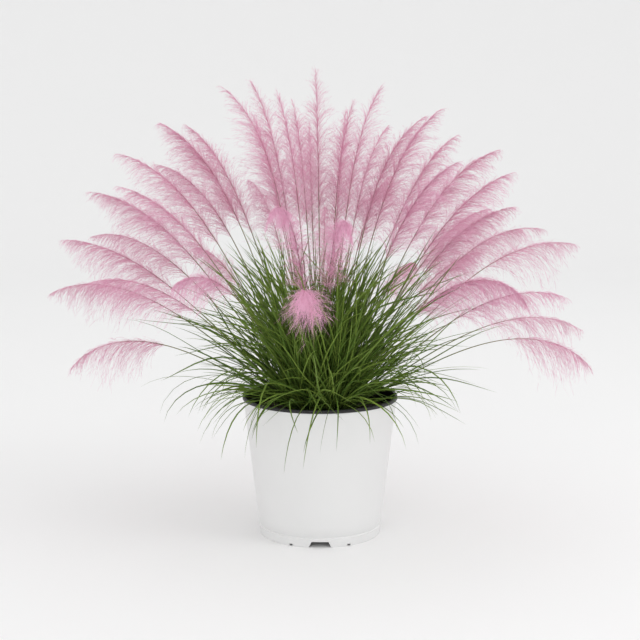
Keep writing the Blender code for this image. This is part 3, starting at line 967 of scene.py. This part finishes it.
def blade_curves(rng, spot, leans, tip_leans, lengths):
    """Blades of one tuft at random headings, mostly outwards, without those that would cut the pot."""
    count = len(leans)
    outward = math.degrees(math.atan2(spot[1], spot[0]))
    spread = BLADE_SPREAD - OUTER_SPREAD_LOSS * float(np.hypot(*spot)) / CROWN_RADIUS
    headings = outward + rng.uniform(-spread, spread, count)
    sways = rng.uniform(-BLADE_SWAY, BLADE_SWAY, count)
    places = rng.normal(0.0, TUFT_CROWN * FOOT_SCATTER, (count, 2)) + spot
    feet = np.column_stack((places, np.full(count, SOIL_TOP - TUFT_BASE)))
    powers = np.full(count, BLADE_POWER)
    waves = rng.normal(0.0, BLADE_WAVE, count)
    paths = lean_curves(headings, leans, tip_leans, lengths, feet, powers, sways, waves)
    kept = np.array([clears_pot(path[FIRST_CLEAR_STEP:]) for path in paths])
    return paths[kept], headings[kept]


def fanned_blades(rng, spot):
    """Blades that fan out from a tuft, the slanting ones longer. Some cross over to its other side."""
    count = BLADE_CANDIDATES
    reach = float(np.hypot(*spot)) / CROWN_RADIUS
    leans = OUTER_LEAN * reach + rng.uniform(*FAN_LEANS, count)
    tip_leans = FAN_BEND * leans + np.sign(leans) * rng.uniform(*FAN_DROOP, count)
    tip_leans = np.minimum(tip_leans, FAN_TIP_MOST)
    slanting = np.maximum(np.sin(np.radians(3.0 * np.abs(leans))), 0.0)
    lengths = FAN_LENGTH + FAN_LENGTH_SCATTER * rng.random(count) ** 1.5 + SLANT_LENGTH * slanting
    paths, headings = blade_curves(rng, spot, leans, tip_leans, lengths)
    return paths[:BLADES_PER_TUFT], headings[:BLADES_PER_TUFT]


def hanging_blades(rng, spot):
    """Blades that bend over the rim and hang down outside the pot, or droop inside it."""
    count = BLADE_CANDIDATES
    leans = rng.uniform(*HANGING_LEANS, count)
    tip_leans = rng.uniform(*HANGING_TIP_LEANS, count)
    paths, headings = blade_curves(rng, spot, leans, tip_leans, rng.uniform(*HANGING_LENGTHS, count))
    low, high = HANGING_TIPS
    hangs = (paths[:, -1, 2] > low) & (paths[:, -1, 2] < high)
    return paths[hangs][:HANGING_PER_TUFT], headings[hangs][:HANGING_PER_TUFT]


def blade_rings(rng, paths, headings):
    """Rings and tips of folded, tapered blades, each rolled about its own length to face its own way."""
    along, side, upper = path_frames(paths, headings)
    count = len(paths)
    picks = np.round(np.linspace(0, CURVE_STEPS, BLADE_STATIONS + 1)).astype(int)
    share = picks / CURVE_STEPS
    roll = rng.uniform(-BLADE_ROLL, BLADE_ROLL, (count, 1))
    roll = roll + rng.uniform(-BLADE_TWIST, BLADE_TWIST, (count, 1)) * share[None]
    roll = np.radians(roll)[..., None]
    flat = side[:, picks] * np.cos(roll) + upper[:, picks] * np.sin(roll)
    raised = np.cross(along[:, picks], flat)
    widening = BLADE_FOOT + (1.0 - BLADE_FOOT) * np.minimum(share / BLADE_FULL, 1.0)
    profile = widening * (1.0 - share**BLADE_TAPER)
    width = BLADE_WIDTH * rng.uniform(*BLADE_WIDTHS, (count, 1)) * profile[None]
    half = flat * (width / 2.0)[..., None]
    middle = paths[:, picks]
    groove = middle - raised * (width * BLADE_GROOVE)[..., None]
    keel = groove - raised * (width * BLADE_KEEL)[..., None]
    rings = np.stack((middle + half, groove, middle - half, keel), axis=2)[:, :-1]
    return rings, middle[:, -1]


def build_leaves():
    leaf = leaf_material()
    for number, spot in enumerate(tuft_spots(), 1):
        rng = np.random.default_rng(LEAF_SEED + number)
        fanned, fanned_headings = fanned_blades(rng, spot)
        hanging, hanging_headings = hanging_blades(rng, spot)
        paths = np.concatenate((fanned, hanging))
        headings = np.concatenate((fanned_headings, hanging_headings))
        rings, tips = blade_rings(rng, paths, headings)
        points, triangles = strands(rings, tips, closed=True)
        # Picks blades at random for the brighter green that is painted light
        tint = np.repeat(rng.random(len(paths)) ** 2, len(points) // len(paths))
        tuft = Growth()
        tuft.add(points, triangles, spread_along(*rings.shape[:3]), tint)
        piece = tuft.piece(f"leaf_blades_{number:02d}", leaf)
        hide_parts(f"leaf_tuft_{number:02d}")
        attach(piece, "root")


# Studio


def build_stage():
    """A round floor that sweeps up into a wall, so that no edge shows from any side."""
    profile = [(FLOOR_RADIUS * i / FLOOR_RINGS, 0.0) for i in range(FLOOR_RINGS + 1)]
    for i in range(1, SWEEP_STEPS + 1):
        angle = math.radians(90.0 * i / SWEEP_STEPS)
        out = FLOOR_RADIUS + SWEEP_RADIUS * math.sin(angle)
        profile.append((out, SWEEP_RADIUS * (1.0 - math.cos(angle))))
    profile.append((FLOOR_RADIUS + SWEEP_RADIUS, WALL_TOP))
    bm = turned(profile, STAGE_SIDES)
    mesh = bpy.data.meshes.new("studio_floor")
    bm.to_mesh(mesh)
    bm.free()
    mesh.shade_smooth()
    floor = link("studio_floor", mesh)
    made, _, shader = new_material("studio_paper", 0.9)
    shader.inputs["Base Color"].default_value = (*STAGE_COLOUR, 1.0)
    shader.inputs["Specular IOR Level"].default_value = 0.0
    mesh.materials.append(made)


def aim(thing, place, target):
    """Turns a lamp at a place to look at a target."""
    thing.location = place
    way = np.array(target) - np.array(place)
    across = math.hypot(way[0], way[1])
    thing.rotation_euler = (math.atan2(across, -way[2]), 0.0, math.atan2(-way[0], way[1]))


def build_lights():
    world = bpy.data.worlds.new("studio")
    world.use_nodes = True
    background = world.node_tree.nodes["Background"]
    background.inputs["Color"].default_value = (*WORLD_COLOUR, 1.0)
    background.inputs["Strength"].default_value = WORLD_STRENGTH
    bpy.context.scene.world = world
    for name, place, size, power in LAMPS:
        lamp = bpy.data.lights.new(name, "AREA")
        lamp.shape = "SQUARE"
        lamp.size = size
        lamp.energy = power
        thing = bpy.data.objects.new(name, lamp)
        bpy.context.collection.objects.link(thing)
        aim(thing, place, LAMP_AIM)


def build_camera():
    camera = bpy.data.cameras.new("camera")
    camera.sensor_width = SENSOR
    camera.lens = CAMERA_LENS
    thing = bpy.data.objects.new("camera", camera)
    bpy.context.collection.objects.link(thing)
    thing.location = CAMERA_PLACE
    thing.rotation_euler = (math.radians(90.0 - CAMERA_DIP), 0.0, 0.0)
    bpy.context.scene.camera = thing


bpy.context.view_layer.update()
bpy.context.scene.view_settings.view_transform = "Standard"
build_camera()
build_lights()
build_stage()
build_pot()
build_soil()
build_leaves()
build_plumes()
